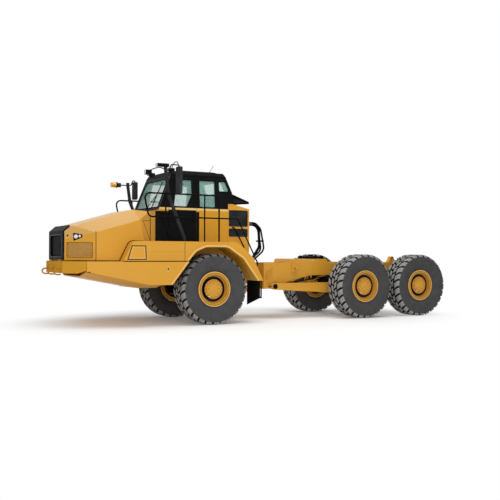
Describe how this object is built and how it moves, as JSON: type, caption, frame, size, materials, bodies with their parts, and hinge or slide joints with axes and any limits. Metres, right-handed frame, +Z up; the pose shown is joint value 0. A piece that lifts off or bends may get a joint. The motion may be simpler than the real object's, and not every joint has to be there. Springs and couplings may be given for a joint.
{
  "type": "articulated hauler chassis",
  "caption": "Articulated hauler without its dump body: tractor with cab and tilting hood, steering and rolling hitch, and a long bare rear frame on driven axles.",
  "frame": {"origin": "on the ground, under the middle of the length and width", "axes": "+X forward, +Y to the driver's left, +Z up"},
  "size_m": [10.3083, 2.904, 3.6083],
  "materials": {
    "yellow_paint": "gloss construction yellow",
    "black_paint": "satin black",
    "black_plastic": "moulded, lightly grained",
    "bronze_mesh": "matt",
    "engine_metal": "painted casting",
    "rod_steel": "ground and plated",
    "tinted_glass": "green tint",
    "seat_fabric": "woven",
    "black_rubber": "matt",
    "amber_plastic": "clear moulded",
    "tyre_rubber": "matt"
  },
  "bodies": {
    "tractor": {"front_frame": "yellow_paint", "bumper": "yellow_paint", "tow_eyes": "yellow_paint", "side_skirts": "yellow_paint", "belly_guard": "yellow_paint", "fenders": "yellow_paint", "mud_flaps": "black_rubber", "lower_steps": "black_paint", "front_axle": "black_paint", "front_struts": "black_paint", "engine": "engine_metal", "radiator": "black_paint", "cowl": "yellow_paint", "cab_shell": "black_paint", "cab_roof": "black_paint", "cab_glass": "tinted_glass", "operator_seat": "seat_fabric", "dashboard": "black_plastic", "rear_housing": "yellow_paint", "rear_louvres": "black_paint", "rear_shade": "black_paint", "handrails": "black_paint", "mirror_masts": "black_paint", "mirrors": "black_plastic", "lamps": "black_plastic", "beacon": "amber_plastic", "hoses": "black_rubber"},
    "hitch": {"hitch_yoke": "yellow_paint"},
    "rear_chassis": {"rear_frame": "yellow_paint", "hoist_saddle": "yellow_paint", "walking_beams": "black_paint", "link_arms": "yellow_paint", "rear_axles": "black_paint", "drive_shafts": "black_paint"},
    "tilting_hood": {"hood": "yellow_paint", "grille": "black_paint", "headlamps": "black_plastic", "nose_meshes": "bronze_mesh"},
    "door": {"cab_door": "black_paint", "door_glass": "tinted_glass"},
    "left_cylinder_barrel": {"left_barrel": "black_paint"},
    "left_cylinder_rod": {"left_rod": "rod_steel"},
    "right_cylinder_barrel": {"right_barrel": "black_paint"},
    "right_cylinder_rod": {"right_rod": "rod_steel"},
    "wheel_front_left": {"tyre_front_left": "tyre_rubber", "rim_front_left": "yellow_paint"},
    "wheel_front_right": {"tyre_front_right": "tyre_rubber", "rim_front_right": "yellow_paint"},
    "wheel_mid_left": {"tyre_mid_left": "tyre_rubber", "rim_mid_left": "yellow_paint"},
    "wheel_mid_right": {"tyre_mid_right": "tyre_rubber", "rim_mid_right": "yellow_paint"},
    "wheel_rear_left": {"tyre_rear_left": "tyre_rubber", "rim_rear_left": "yellow_paint"},
    "wheel_rear_right": {"tyre_rear_right": "tyre_rubber", "rim_rear_right": "yellow_paint"}
  },
  "joints": [
    {"name": "steer", "type": "hinge", "parent": "tractor", "child": "hitch", "pos_m": [0.25425, 0, 1.02], "axis": [0, 0, 1], "range_deg": [-45, 45]},
    {"name": "roll", "type": "hinge", "parent": "hitch", "child": "rear_chassis", "pos_m": [0.25425, 0, 1.02], "axis": [1, 0, 0], "range_deg": [-20, 20]},
    {"name": "hood_tilt", "type": "hinge", "parent": "tractor", "child": "tilting_hood", "pos_m": [4.99025, 0, 1.459], "axis": [0, 1, 0], "range_deg": [0, 65]},
    {"name": "door_swing", "type": "hinge", "parent": "tractor", "child": "door", "pos_m": [2.62425, 0.866, 2.3], "axis": [0, 0, -1], "range_deg": [0, 42]},
    {"name": "left_barrel_swing", "type": "hinge", "parent": "tractor", "child": "left_cylinder_barrel", "pos_m": [1.40425, 0.52, 0.86], "axis": [0, 0, 1], "range_deg": [-1.5, 1.5]},
    {"name": "left_rod_slide", "type": "slide", "parent": "left_cylinder_barrel", "child": "left_cylinder_rod", "axis": [-0.977, -0.2135, 0], "range_m": [-0.19, 0.19]},
    {"name": "right_barrel_swing", "type": "hinge", "parent": "tractor", "child": "right_cylinder_barrel", "pos_m": [1.40425, -0.52, 0.86], "axis": [0, 0, 1], "range_deg": [-1.5, 1.5]},
    {"name": "right_rod_slide", "type": "slide", "parent": "right_cylinder_barrel", "child": "right_cylinder_rod", "axis": [-0.977, 0.2135, 0], "range_m": [-0.19, 0.19]},
    {"name": "front_left_spin", "type": "hinge", "parent": "tractor", "child": "wheel_front_left", "pos_m": [1.70425, 1.1375, 0.8085], "axis": [0, 1, 0], "continuous": true},
    {"name": "front_right_spin", "type": "hinge", "parent": "tractor", "child": "wheel_front_right", "pos_m": [1.70425, -1.1375, 0.8085], "axis": [0, 1, 0], "continuous": true},
    {"name": "mid_left_spin", "type": "hinge", "parent": "rear_chassis", "child": "wheel_mid_left", "pos_m": [-2.54575, 1.1375, 0.8085], "axis": [0, 1, 0], "continuous": true},
    {"name": "mid_right_spin", "type": "hinge", "parent": "rear_chassis", "child": "wheel_mid_right", "pos_m": [-2.54575, -1.1375, 0.8085], "axis": [0, 1, 0], "continuous": true},
    {"name": "rear_left_spin", "type": "hinge", "parent": "rear_chassis", "child": "wheel_rear_left", "pos_m": [-4.34575, 1.1375, 0.8085], "axis": [0, 1, 0], "continuous": true},
    {"name": "rear_right_spin", "type": "hinge", "parent": "rear_chassis", "child": "wheel_rear_right", "pos_m": [-4.34575, -1.1375, 0.8085], "axis": [0, 1, 0], "continuous": true}
  ],
  "couplings": [
    {"joint": "left_barrel_swing", "follows": "steer", "ratio": -0.0247},
    {"joint": "left_rod_slide", "follows": "steer", "m_per_rad": 0.2349},
    {"joint": "right_barrel_swing", "follows": "steer", "ratio": -0.0247},
    {"joint": "right_rod_slide", "follows": "steer", "m_per_rad": -0.2349}
  ]
}
